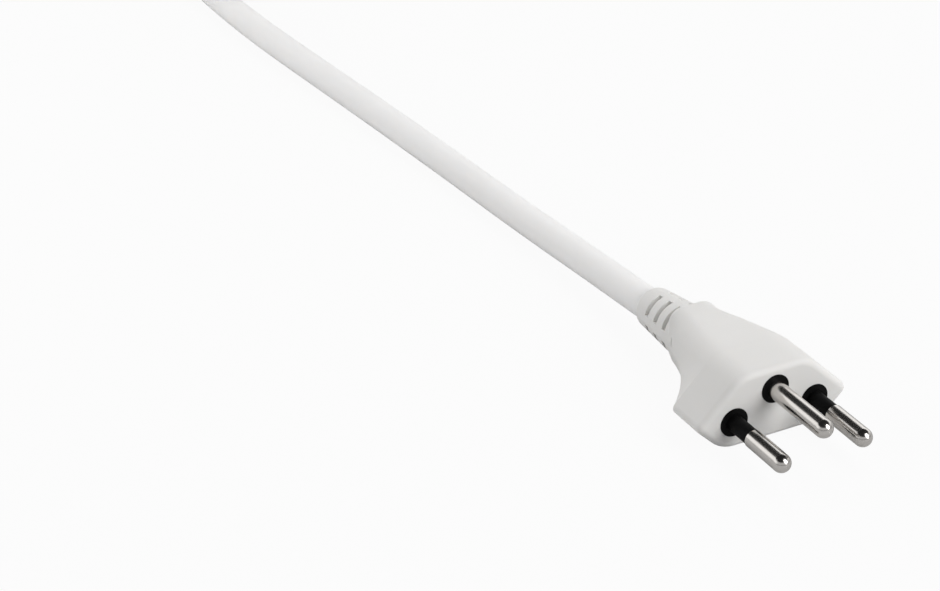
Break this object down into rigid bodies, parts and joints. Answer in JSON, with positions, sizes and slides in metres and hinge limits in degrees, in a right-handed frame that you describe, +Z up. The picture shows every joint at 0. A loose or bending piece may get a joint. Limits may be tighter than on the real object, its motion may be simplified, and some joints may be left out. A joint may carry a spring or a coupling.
{
  "type": "type j plug",
  "caption": "Moulded type J mains plug with round pins, sleeved live and neutral, and a slotted strain relief, on a white flexible lead that ends in an angled appliance connector.",
  "frame": {"origin": "on the plug's face, midway between the axes of the live and neutral pins", "axes": "+Y back from the face along the plug to its lead, so the pins point to -Y; +Z up, to the earth pin's side; +X from the live pin to the neutral pin"},
  "size_m": [0.0512, 0.5505, 0.0345],
  "materials": {
    "white_moulding": "soft white moulded plastic with a faint sheen",
    "white_sheath": "soft white sheath with a faint sheen",
    "black_carrier": "hard black plastic",
    "plated_pin": "polished nickel plate over brass",
    "copper": "bright bare copper strands",
    "brown_core": "brown wire insulation",
    "blue_core": "light blue wire insulation",
    "green_core": "green and yellow wire insulation",
    "contact_brass": "plain brass strip",
    "strap": "black woven strap"
  },
  "bodies": {
    "root": {"plug_body": "white_moulding", "pin_bridge": "black_carrier", "live_pin": "plated_pin", "neutral_pin": "plated_pin", "earth_pin": "plated_pin", "plug_live_core": "brown_core", "plug_neutral_core": "blue_core", "plug_earth_core": "green_core", "plug_live_strands": "copper", "plug_neutral_strands": "copper", "plug_earth_strands": "copper", "cord_run": "white_sheath", "cord_hank": "white_sheath", "cord_tail": "white_sheath", "hank_tie": "strap", "connector_grip": "white_moulding", "contact_block": "white_moulding", "live_contact": "contact_brass", "neutral_contact": "contact_brass", "earth_contact": "contact_brass", "connector_live_core": "brown_core", "connector_neutral_core": "blue_core", "connector_earth_core": "green_core", "connector_live_strands": "copper", "connector_neutral_strands": "copper", "connector_earth_strands": "copper"}
  },
  "joints": []
}
